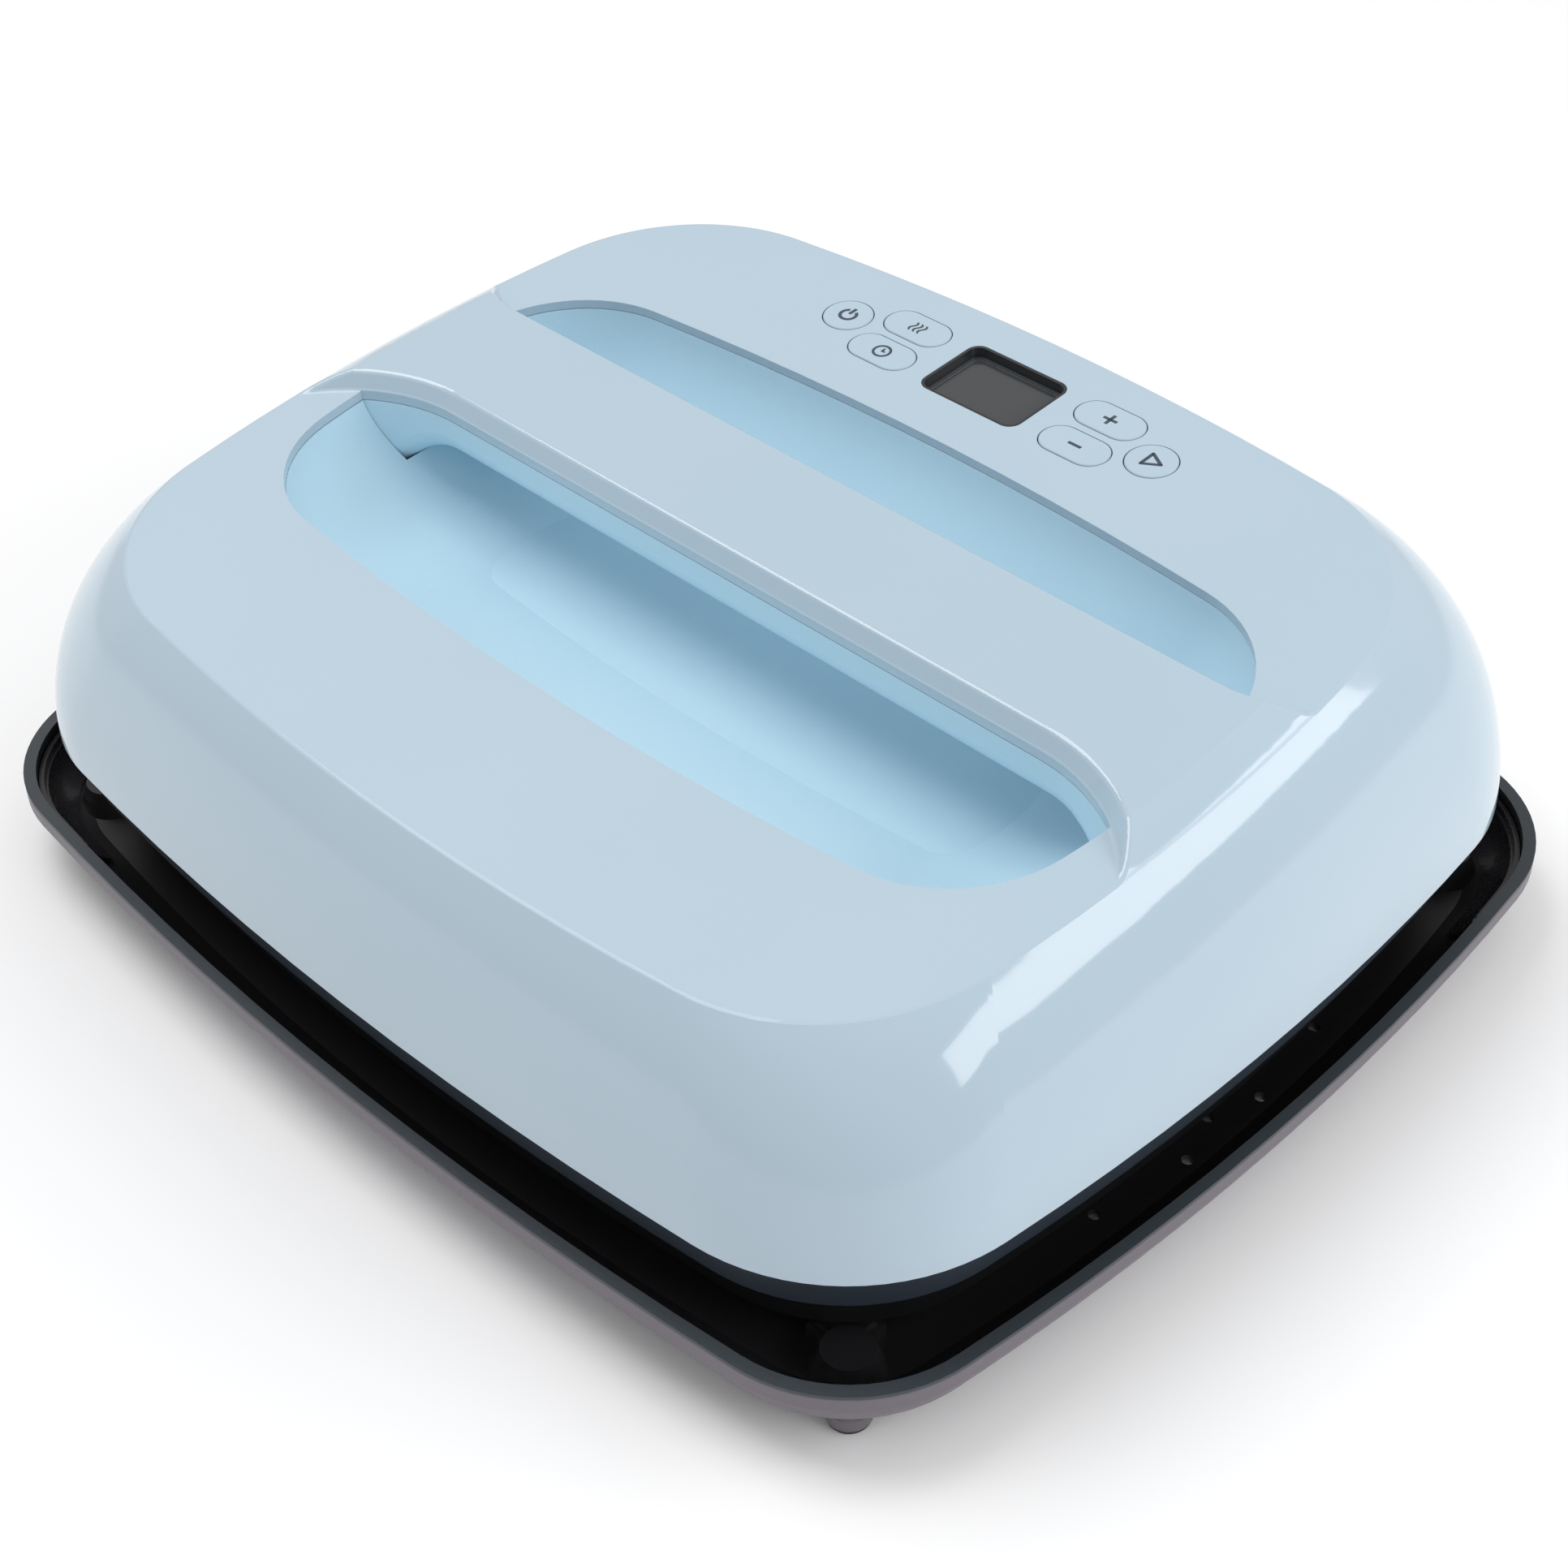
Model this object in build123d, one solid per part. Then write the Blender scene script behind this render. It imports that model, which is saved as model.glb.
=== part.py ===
from build123d import *
import math
import os

# Handheld electric heat press resting in its insulated base tray. Millimetres, +Z up.
# The origin is on the table under the middle of the tray. +X runs to the right along the
# handle, +Y runs from the operator to the control panel.

# ---- overall sizes ----
plate_width = 305.0         # heated plate, left to right
plate_depth = 254.0
rim_height = 24.0           # table to tray rim
base_corner = 41.0          # corner radius of the rim
side_bow = 11.5             # how far the middle of each side swells past its ends
shell_width = plate_width + 30.0    # lower edge of the upper housing
shell_depth = plate_depth + 29.6
tray_reach = 7.2            # tray rim past the housing, all round
base_width = shell_width + 2 * tray_reach
base_depth = shell_depth + 2 * tray_reach
shell_corner = 54.0
shell_base = 44.0           # height of the housing's lower edge
crown_height = 108.3        # top of the handle at the origin
deck_drop = 5.5             # the flat deck lies this far under the crown
deck_tilt = 4.1             # degrees, the deck rises to the back
side_round = 35.8           # how far the rounded sides lean in at the crown
front_round = 28.0
back_round = 42.2
round_power = 1.85          # squareness of the rounded sides
wall = 2.6                  # moulded wall of the housing
liner_wall = 2.2
crease_round = 1.5          # softened edges round the deck and along the handle

# ---- grip pocket and handle ----
pocket_half = shell_width / 2 - 35.5
pocket_front = 68.8 - shell_depth / 2
pocket_back = shell_depth / 2 - 80.8
pocket_corner = 37.0
pocket_bow = 8.0
pocket_depth = 38.0
handle_front = -13.0        # foot of the handle's front bevel, on the deck
handle_back = 30.0
bevel_front = 30.0          # degrees the bevel leans back from the deck's normal
front_flare = 50.0          # radius where the handle widens into the sides
back_flare = 30.0
lobe_half = shell_width / 2 - 14.5
handle_drop = 13.0          # underside of the grip below the cover's lower edge
cup_radius = 25.0           # the underside sweeps down into the pocket's ends
grip_round = 7.0
grip_wall = 3.4
post_gap = 0.8              # grip floor to the end of the cover's posts
seam = 0.25                 # parting gap between moulded covers
liner_flange = 3.5          # flange that clips the pocket under the deck
liner_flange_thickness = 2.0
liner_pilot = 12.0
liner_post_drop = 20.8      # deck down to the top of the liner's posts

# ---- control panel, on the deck ----
panel_y = shell_depth / 2 - 52.8
round_key_x = 53.5
round_key_radius = 7.0
pill_x = 34.0
pill_offset = 7.2
pill_length = 21.0
pill_height = 11.5
key_gap = 0.35
key_rise = 0.25
key_floor = 1.2             # thickness of a key under its lip
key_lip = 1.0
key_travel = 0.5
display_width = 34.0
display_depth = 25.0
display_corner = 4.0
display_recess = 2.8
frame_wall = 0.8
frame_ledge = 2.5
frame_depth = 2.0           # how far the display's liner reaches under the deck

# ---- tray ----
rim_width = 3.0
tray_floor = 7.0            # top of the tray's floor
tray_thickness = 2.5
tray_wall_lean = 11.5       # rim to floor, how far the wall leans in
lip_height = 5.0
foot_x = base_width / 2 - 28.2
foot_y = base_depth / 2 - 28.5
foot_top_radius = 6.6
foot_radius = 5.6
pad_thickness = 1.6
pad_step = 0.4
rest_top = 14.0
rest_radius = 7.0
rest_x = plate_width / 2 - 34.5
rest_y = plate_depth / 2 - 35.0
vent_radius = 1.6
vent_pitch = 14.3
rest_pad = 2.0
rest_flare = 2.5
boss_radius = 6.4           # screw boss over each foot, inside the tray
boss_step = 5.5
mat_clear = 4.5             # mat to the foot of each rest
vent_outer = 18.0           # rows of vent holes, measured in from the rim
vent_inner = 23.0
mat_inset = 28.0
mat_thickness = 4.5
guard_thickness = 1.2
guard_lift = 0.4
guard_height = 11.0
guard_reach = 58.0

# ---- heat pack ----
plate_corner = 36.0
plate_thickness = 8.0
seat_gap = 0.2              # plate over the rests, and other stacked flats on other bodies
heater_thickness = 1.0
clamp_thickness = 1.2
blanket_thickness = 11.0
shield_thickness = 0.8
skirt_inset = 5.0           # skirt behind the housing's lower edge
skirt_wall = 3.0
skirt_height = 12.5
skirt_gap = 0.6             # dark line between housing and skirt
flange_thickness = 2.6
flange_width = 44.0
surround_inset = 5.8
surround_wall = 2.0
surround_lift = 3.0         # collar's lower edge over the face of the plate
sheet_clear = 0.4           # flange to the inside of the housing
window_x = 44.0
window_y = 40.0
sensor_y = 10.0
fuse_y = 15.0
tab_x = 14.0

# ---- fasteners and posts ----
post_radius = 4.6
post_height = 16.0
screw_radius = 1.5
screw_head_radius = 3.0
screw_head = 2.0
screw_clear = 0.2
bore_clear = 0.1            # radius of a pilot hole past its screw
rib_span = 24.0
board_post_radius = 3.0
pilot_stop = 4.0            # solid end of each housing post
boss_pilot = 10.0
tapped_depth = 5.0          # screw holes in the top of the heat plate
standoff_radius = 4.5

# ---- electronics ----
board_width = 128.0
board_depth = 38.0
board_thickness = 1.6
board_drop = 13.0           # top of the control board below the deck
board_y = panel_y
switch_size = 6.0
switch_body = 3.5
switch_plunger = 1.0
switch_gap = 0.7            # key stem over its switch
key_stem = 1.6
guide_rise = 2.2
guide_thickness = 1.2
guide_leg_x = 24.0
lens_thickness = 1.4
module_thickness = 3.2
harness_x = 44.0
power_board_width = 104.0
power_board_depth = 34.0
power_board_y = 29.8 - shell_depth / 2
power_board_lift = 8.0
bush_x = shell_width / 2 - 75.5
bush_height = 62.0
bush_radius = 6.5
bush_bore = 3.6
bush_flange = 8.9
bush_seat = 0.6             # recess that the bush's flange sits in
bush_pad = 3.4              # flat pad behind it, moulded into the rear wall

slope = math.tan(math.radians(deck_tilt))
deck_height = crown_height - deck_drop
deck = Plane(origin=(0, 0, deck_height), x_dir=(1, 0, 0), z_dir=(0, -slope, 1))
plate_bottom = rest_top + seat_gap
plate_top = plate_bottom + plate_thickness
heater_top = plate_top + heater_thickness
clamp_top = heater_top + clamp_thickness
blanket_top = clamp_top + blanket_thickness
shield_top = blanket_top + shield_thickness
skirt_top = shell_base - skirt_gap
skirt_bottom = skirt_top - skirt_height
flange_top = skirt_top + flange_thickness
skirt_half_x = shell_width / 2 - skirt_inset
skirt_half_y = shell_depth / 2 - skirt_inset
skirt_corner = shell_corner - skirt_inset
handle_mid = (handle_front + handle_back) / 2
handle_post_x = [side * x for side in (-1, 1) for x in (38.0, pocket_half - 28.0)]
board_post_x = (-60.0, 60.0)
board_post_y = (board_y - 14.5, board_y + 14.5)
liner_post_height = deck_height - flange_top - liner_post_drop
liner_post_spots = [(sx * (pocket_half - 10.0), y) for sx in (-1, 1) for y in (-20.0, 16.0)]

power_board_bottom = flange_top + power_board_lift
lead_x = tab_x + 3.1
lead_y = power_board_y + power_board_depth / 2 - 5
power_post_spots = [(sx * 47.0, power_board_y + sy * 13.0) for sx in (-1, 1) for sy in (-1, 1)]
clamp_spots = [(x * 88.0, y * 84.0) for x in (-1, 0, 1) for y in (-1, 0, 1) if x or y]

post_spots = [
    (sx * px, sy * py)
    for sx in (-1, 1)
    for sy in (-1, 1)
    for px, py in ((shell_width / 2 - 19.5, 52.0), (78.0, shell_depth / 2 - 20.0))
]
standoff_spots = [
    (sx * px, sy * py)
    for sx in (-1, 1)
    for sy in (-1, 1)
    for px, py in ((plate_width / 2 - 24.0, 40.0), (50.0, plate_depth / 2 - 21.0))
]


def bowed(half_x, front, back, bow, radius):
    """Rounded rectangle whose four sides swell outward, drawn on the XY plane."""
    mid = (front + back) / 2
    sw = (-half_x + bow, front + bow)
    se = (half_x - bow, front + bow)
    ne = (half_x - bow, back - bow)
    nw = (-half_x + bow, back - bow)
    sides = [
        ThreePointArc(sw, (0, front), se),
        ThreePointArc(se, (half_x, mid), ne),
        ThreePointArc(ne, (0, back), nw),
        ThreePointArc(nw, (-half_x, mid), sw),
    ]
    face = make_face(sides)
    return fillet(face.vertices(), radius)


def slab(face, low, high):
    """Straight prism of a face drawn on XY, from one height to another."""
    return extrude(Pos(0, 0, low) * face, high - low)


def cylinder(x, y, low, high, radius):
    return slab(Pos(x, y) * Circle(radius), low, high)


def centred(half_x, half_y, radius, bow=side_bow):
    return bowed(half_x, -half_y, half_y, bow, radius)


def body_form(inset):
    """The whole rounded body as one solid: stacked outlines that lean in and tilt with height."""
    sections = []
    for degrees in (0, 7, 18, 32, 46, 60, 72, 82):
        angle = math.radians(degrees)
        side = math.cos(angle) ** (2 / round_power)
        rise = math.sin(angle) ** (2 / round_power)
        lean = 1 - side
        outline = bowed(
            shell_width / 2 - inset - side_round * lean,
            -shell_depth / 2 + inset + front_round * lean,
            shell_depth / 2 - inset - back_round * lean,
            side_bow,
            shell_corner - inset,
        )
        height = shell_base + (crown_height - inset - shell_base) * rise
        sections.append(Pos(0, 0, height) * Rot(deck_tilt * rise, 0, 0) * outline)
    return loft(sections)


def lobe(edge, side, flare, lean, grow, drop):
    """Space over the deck in front of the handle (side -1) or behind it (side 1)."""
    far = side * (shell_depth + 60)
    near = edge - side * grow
    middle = (near + far) / 2
    face = Pos(0, middle) * RectangleRounded(2 * (lobe_half + grow), abs(far - near), flare + grow)
    plane = deck.offset(-drop)
    return plane * extrude(face, 3 * deck_drop + drop + 12, taper=-lean)


def front_lobe(grow=0.0, drop=0.0):
    return lobe(handle_front, -1, front_flare, bevel_front, grow, drop)


def back_lobe(grow=0.0, drop=0.0):
    return lobe(handle_back, 1, back_flare, bevel_front, grow, drop)


def lobe_plan(edge, side, flare, grow=0.0):
    near = edge - side * grow
    far = side * (shell_depth + 60)
    return Pos(0, (near + far) / 2) * RectangleRounded(2 * (lobe_half + grow), abs(far - near), flare + grow)


def handle_plan(grow=0.0):
    """Footprint of the grip between the two lobes, inside the pocket's outline."""
    front = lobe_plan(handle_front, -1, front_flare, -grow)
    back = lobe_plan(handle_back, 1, back_flare, -grow)
    return pocket_plan(grow) - front - back


def pocket_plan(grow=0.0):
    return bowed(
        pocket_half + grow, pocket_front - grow, pocket_back + grow, pocket_bow, pocket_corner + grow
    )


def pocket_bowl(grow=0.0):
    """Inside of the scoop, or its outside when grown, measured down from the deck."""
    sections = [deck.offset(20) * pocket_plan(grow)]
    for depth, lean in ((0.0, 0.0), (0.32, 3.0), (0.62, 11.0), (0.86, 25.0), (1.0, 44.0)):
        outline = bowed(
            pocket_half + grow - lean,
            pocket_front - grow + lean,
            pocket_back + grow - lean,
            pocket_bow * (1 - 0.5 * depth),
            pocket_corner + grow - lean * 0.62,
        )
        sections.append(deck.offset(-depth * (pocket_depth + grow)) * outline)
    upper = loft(sections[:2])
    return upper + loft(sections[1:])


def tilted(face, low, high):
    """Prism of a face drawn on the deck, from one depth to another along the deck's normal."""
    return extrude(deck.offset(low) * face, high - low, dir=deck.z_dir)


def key_plans():
    """Outline and place of each key on the deck."""
    circle = Circle(round_key_radius)
    pill = SlotOverall(pill_length, pill_height)
    return {
        "power_key": (circle, -round_key_x, panel_y),
        "temperature_key": (pill, -pill_x, panel_y + pill_offset),
        "timer_key": (pill, -pill_x, panel_y - pill_offset),
        "plus_key": (pill, pill_x, panel_y + pill_offset),
        "minus_key": (pill, pill_x, panel_y - pill_offset),
        "start_key": (circle, round_key_x, panel_y),
    }


def grown(face, by):
    return offset(face, amount=by)


def screw(x, y, tip, seat, up=1):
    """Pan-head screw: the shank runs from the tip to the seat, the head lies past the seat."""
    shank = cylinder(x, y, min(tip, seat), max(tip, seat), screw_radius)
    far = seat + up * screw_head
    head = cylinder(x, y, min(seat, far), max(seat, far), screw_head_radius)
    drive = cylinder(x, y, min(far, far - up * 1.0), max(far, far - up * 1.0), 1.1)
    return shank + head - drive


def group(solids):
    return Compound(children=list(solids))


# ---- base tray ----
def tray_form(inset, rise):
    """Bowl-shaped outline of the tray, leaning in from the rim to the floor."""
    low = tray_floor - rise
    span = rim_height - lip_height - low
    sections = []
    for share, lean in ((0.0, tray_wall_lean), (0.45, tray_wall_lean * 0.33), (1.0, 0.7)):
        reach = inset + lean
        outline = centred(base_width / 2 - reach, base_depth / 2 - reach, base_corner - reach)
        sections.append(Pos(0, 0, low + span * share) * outline)
    lip = centred(base_width / 2 - inset, base_depth / 2 - inset, base_corner - inset)
    return loft(sections) + slab(lip, rim_height - lip_height, rim_height)


def foot_spots():
    return [(sx * foot_x, sy * foot_y) for sx in (-1, 1) for sy in (-1, 1)]


def rest_spots():
    return [(sx * rest_x, sy * rest_y) for sx in (-1, 1) for sy in (-1, 1)]


def base_tray():
    tray = tray_form(0.0, tray_thickness)
    for x, y in foot_spots():
        height = rim_height - lip_height - pad_thickness
        foot = Pos(x, y, pad_thickness + height / 2) * Cone(foot_radius, foot_top_radius, height)
        tray += foot
    tray -= tray_form(rim_width, 0.0)
    for x, y in rest_spots():
        height = rest_top - rest_pad - tray_floor
        tray += Pos(x, y, tray_floor + height / 2) * Cone(rest_radius + rest_flare, rest_radius, height)
    inside = tray_form(rim_width / 2, 0.0)
    for x, y in foot_spots():
        place = Pos(x - math.copysign(boss_step, x), y - math.copysign(boss_step, y))
        height = rest_top - tray_floor
        boss = Cone(boss_radius + rest_flare, boss_radius, height)
        tray += place * Pos(0, 0, tray_floor + height / 2) * boss & inside
    for side in (-1, 1):
        for step in (-3, -1, 0, 1, 3):
            row = vent_outer if step in (-1, 1) else vent_inner
            x = side * (base_width / 2 - row)
            tray -= cylinder(x, step * vent_pitch, 0, tray_floor + 1, vent_radius)
    return tray


def base_mat():
    half_x = base_width / 2 - mat_inset
    half_y = base_depth / 2 - mat_inset
    mat = slab(centred(half_x, half_y, base_corner - mat_inset), tray_floor, tray_floor + mat_thickness)
    for x, y in rest_spots():
        mat -= cylinder(x, y, tray_floor, rest_top, rest_radius + mat_clear)
    return mat


def rest_pads():
    return group(cylinder(x, y, rest_top - rest_pad, rest_top, rest_radius) for x, y in rest_spots())


def foot_pads():
    pads = []
    for x, y in foot_spots():
        pad = cylinder(x, y, 0, pad_thickness, foot_radius - pad_step)
        pads.append(chamfer(pad.edges().group_by(Axis.Z)[0], pad_step))
    return group(pads)


def corner_guards():
    near = rim_width + seam
    sheet = tray_form(near, -guard_lift) - tray_form(near + guard_thickness, -guard_lift)
    sheet &= Pos(0, 0, (tray_floor + rim_height) / 2) * Box(base_width, base_depth, guard_height)
    guards = []
    for sx in (-1, 1):
        for sy in (-1, 1):
            window = Pos(sx * base_width / 2, sy * base_depth / 2, rim_height / 2)
            guards.append(sheet & window * Box(2 * guard_reach, 2 * guard_reach, 2 * rim_height))
    return group(s for g in guards for s in g.solids())


# ---- moulded covers ----
def housing_posts():
    """Screw posts, each tied to the side wall by a rib."""
    posts = []
    top = flange_top + post_height
    for x, y in post_spots:
        along_x = abs(x) / shell_width > abs(y) / shell_depth
        post = cylinder(x, y, flange_top, top, post_radius)
        rib_x = rib_span if along_x else post_radius
        rib_y = post_radius if along_x else rib_span
        shift_x = math.copysign(rib_span / 2, x) if along_x else 0
        shift_y = 0 if along_x else math.copysign(rib_span / 2, y)
        centre = Pos(x + shift_x, y + shift_y, (flange_top + top) / 2)
        rib = centre * Box(rib_x, rib_y, post_height)
        posts.append(post + rib)
    return posts


def depth_at(point):
    """Height of a point over the deck, along the deck's normal."""
    return deck.to_local_coords(point).Z


def is_deck_crease(edge):
    """Edges that border the flat deck."""
    return all(abs(depth_at(edge @ share)) < 0.05 for share in (0, 0.5, 1))


def is_handle_crease(edge):
    """Edges along the top of the bevels, round to where they fade into the sides."""
    high = deck_drop / 5 < depth_at(edge.center()) < deck_drop
    return high and edge.length > 2 * crease_round + 6 and abs((edge % 0.5).Y) < 0.9


def outer_form():
    form = body_form(0.0) - front_lobe() - back_lobe()
    creases = [e for e in form.edges() if is_deck_crease(e) or is_handle_crease(e)]
    return fillet(creases, crease_round)


def rear_wall(x, height):
    """Outside of the housing's rear wall, to the nearest tenth."""
    rise = (height - shell_base) / (crown_height - shell_base)
    lean = 1 - math.cos(math.asin(rise ** (round_power / 2))) ** (2 / round_power)
    half = shell_width / 2 - side_bow
    radius = (half**2 + side_bow**2) / (2 * side_bow)
    bulge = radius - math.sqrt(radius**2 - x**2)
    return round(shell_depth / 2 - bulge - back_round * lean, 1)


def rear_disc(front, back, radius):
    """Round cut or boss through the rear wall, on the cord's line."""
    return Pos(bush_x, (front + back) / 2, bush_height) * Rot(90, 0, 0) * Cylinder(radius, back - front)


def upper_housing():
    """Moulded top cover: one wall that follows the outside, with its posts and openings."""
    cavity = body_form(wall) - front_lobe(wall, wall) - back_lobe(wall, wall)
    housing = outer_form() - cavity
    middle = body_form(wall / 2)
    for post in housing_posts():
        housing += post & middle
    for x in board_post_x:
        for y in board_post_y:
            housing += tilted(Pos(x, y) * Circle(board_post_radius), -board_drop, -wall / 2)
    post_end = handle_floor(handle_mid) + grip_wall + post_gap
    for x in handle_post_x:
        housing += cylinder(x, handle_mid, post_end, crown_height, post_radius) & middle
    beyond = lobe_plan(handle_front, -1, front_flare) + lobe_plan(handle_back, 1, back_flare)
    housing -= tilted(pocket_plan() & beyond, -2 * wall, wall)
    for outline, x, y in key_plans().values():
        housing -= tilted(Pos(x, y) * grown(outline, key_gap), -1.5 * wall, wall)
    window = Pos(0, panel_y) * RectangleRounded(display_width, display_depth, display_corner)
    housing -= tilted(window, -1.5 * wall, wall)
    seat = rear_wall(bush_x, bush_height) - bush_seat
    housing += rear_disc(seat - bush_pad, seat, bush_flange + wall)
    housing -= rear_disc(seat, shell_depth, bush_flange + 2 * bore_clear)
    housing -= rear_disc(seat - 2 * wall - bush_pad, shell_depth, bush_radius + bore_clear)
    for x, y in post_spots:
        pilot_top = flange_top + post_height - pilot_stop
        housing -= cylinder(x, y, flange_top, pilot_top, screw_radius + bore_clear)
    for x in handle_post_x:
        housing -= cylinder(x, handle_mid, 0, crown_height - 2 * wall, screw_radius + bore_clear)
    for x in board_post_x:
        for y in board_post_y:
            housing -= tilted(Pos(x, y) * Circle(screw_radius + bore_clear), -board_drop, -1.5 * wall)
    return housing


def handle_floor(y):
    """Height of the grip's underside."""
    return deck_height + slope * y - wall - seam - handle_drop


def grip_solid(inset):
    """Solid of the lower grip: the band under the handle, swept down into both pocket ends."""
    band = tilted(handle_plan(-inset), -wall - seam - handle_drop - cup_radius, -wall - seam + max(inset, 0))
    low = -handle_drop - wall - seam + inset
    half = pocket_half - inset
    radius = cup_radius - inset
    profile = make_face([
        Line((-half - 9, 20), (-half - 9, low - radius)),
        Line((-half - 9, low - radius), (-half, low - radius)),
        RadiusArc((-half, low - radius), (-half + radius, low), radius),
        Line((-half + radius, low), (half - radius, low)),
        RadiusArc((half - radius, low), (half, low - radius), radius),
        Line((half, low - radius), (half + 9, low - radius)),
        Line((half + 9, low - radius), (half + 9, 20)),
        Line((half + 9, 20), (-half - 9, 20)),
    ])
    across = Plane(origin=(0, 0, deck_height), x_dir=(1, 0, 0), z_dir=(0, -1, -slope))
    arch = extrude(across * profile, 120, both=True)
    return band & arch


def is_grip_edge(edge):
    """Long edges of the grip where a hand closes round it."""
    depth = deck.to_local_coords(edge.center()).Z
    return abs(depth + handle_drop + wall + seam) < 0.5 and edge.length > pocket_half / 2


def handle_underside():
    grip = grip_solid(0.0)
    grip = fillet([e for e in grip.edges() if is_grip_edge(e)], grip_round)
    grip -= grip_solid(grip_wall)
    for x in handle_post_x:
        grip -= cylinder(x, handle_mid, 0, crown_height, screw_radius + bore_clear)
        grip -= cylinder(x, handle_mid, 0, handle_floor(handle_mid) + 0.4, screw_head_radius + 0.2)
    return grip


def pocket_liner():
    outer = pocket_bowl(liner_wall)
    under = -wall - seam
    flange = tilted(pocket_plan(liner_wall + liner_flange), under - liner_flange_thickness, under)
    liner = outer + flange
    for x, y in liner_post_spots:
        liner += cylinder(x, y, flange_top, flange_top + liner_post_height, post_radius)
    liner -= pocket_bowl()
    liner -= tilted(Rectangle(2 * shell_width, 2 * shell_depth), under, 60)
    for x, y in liner_post_spots:
        liner -= cylinder(x, y, flange_top, flange_top + liner_pilot, screw_radius + bore_clear)
    return liner - grip_solid(-seam)


# ---- keys and panel ----
def key(outline, x, y):
    """Key cap with a lip that keeps it under the deck, and a stem over its switch."""
    under = -wall - key_travel - key_floor
    cap = tilted(Pos(x, y) * outline, under, key_rise)
    lip = tilted(Pos(x, y) * grown(outline, key_lip), under, -wall - bore_clear)
    stem_end = -board_drop + switch_body + switch_gap
    stem = tilted(Pos(x, y) * Circle(key_stem), stem_end, under)
    whole = cap + lip + stem
    rim = [e for e in whole.edges() if abs(depth_at(e.center()) - key_rise) < 0.01]
    return chamfer(rim, key_rise)


def panel_frame():
    """Dark liner of the display opening, with a ledge under the deck."""
    opening = Pos(0, panel_y) * RectangleRounded(display_width, display_depth, display_corner)
    low = -wall - frame_depth
    frame = tilted(grown(opening, -bore_clear), low, -bore_clear)
    frame += tilted(grown(opening, frame_ledge), low, -wall - bore_clear)
    return frame - tilted(grown(opening, -bore_clear - frame_wall), -wall - 2 * frame_depth, wall)


def display_lens():
    """Smoked window, set below the deck inside the frame."""
    opening = Pos(0, panel_y) * RectangleRounded(display_width, display_depth, display_corner)
    lens = grown(opening, -frame_wall - 2 * bore_clear)
    return tilted(lens, -display_recess - lens_thickness, -display_recess)


def module_top():
    return -max(display_recess + lens_thickness, wall + frame_depth) - bore_clear


def display_module():
    top = module_top()
    plate = Pos(0, panel_y) * RectangleRounded(display_width + 2, display_depth + 2, 1.0)
    return tilted(plate, top - module_thickness, top)


def display_backlight():
    plate = Pos(0, panel_y) * Rectangle(display_width - 2, display_depth - 2)
    return tilted(plate, -board_drop, module_top() - module_thickness)


def control_board():
    plate = Pos(0, board_y) * RectangleRounded(board_width, board_depth, 2)
    board = tilted(plate, -board_drop - board_thickness, -board_drop)
    for x in board_post_x:
        for y in board_post_y:
            board -= tilted(Pos(x, y) * Circle(screw_radius + bore_clear), -board_drop - 2, 0)
    return board


def board_screws():
    screws = []
    for x in board_post_x:
        for y in board_post_y:
            under = -board_drop - board_thickness
            shank = tilted(Pos(x, y) * Circle(screw_radius), under, -board_drop + 6)
            head = tilted(Pos(x, y) * Circle(screw_head_radius), under - screw_head, under)
            screws.append(shank + head)
    return group(screws)


def tactile_switches():
    switches = []
    for outline, x, y in key_plans().values():
        base = Pos(x, y) * Rectangle(switch_size, switch_size)
        body = tilted(base, -board_drop, -board_drop + switch_body - switch_plunger)
        plunger = tilted(Pos(x, y) * Circle(key_stem), -board_drop, -board_drop + switch_body)
        switches.append(body + plunger)
    return group(switches)


def key_guide():
    """Thin plate that steers the key stems, standing on the control board."""
    high = -board_drop + switch_body + guide_rise
    outline = Pos(0, panel_y) * RectangleRounded(board_post_x[1] * 2 - 8, board_depth - 6, 2)
    guide = tilted(outline, high - guide_thickness, high)
    for x in (-guide_leg_x, guide_leg_x):
        for side in (-1, 1):
            y = panel_y + side * (board_depth / 2 - 5)
            guide += tilted(Pos(x, y) * Circle(1.8), -board_drop, high)
    hole = Pos(0, panel_y) * Rectangle(display_width + 3, display_depth + 3)
    guide -= tilted(hole, -board_drop, 0)
    for outline, x, y in key_plans().values():
        guide -= tilted(Pos(x, y) * Circle(key_stem + key_gap), -board_drop, 0)
    return guide


def buzzer():
    x = board_width / 2 - 40
    under = -board_drop - board_thickness
    return tilted(Pos(x, board_y) * Circle(6), under - 5.5, under)


# ---- chassis and heat pack ----
def drilled(piece, spots, radius, low, high):
    for x, y in spots:
        piece -= cylinder(x, y, low, high, radius)
    return piece


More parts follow.
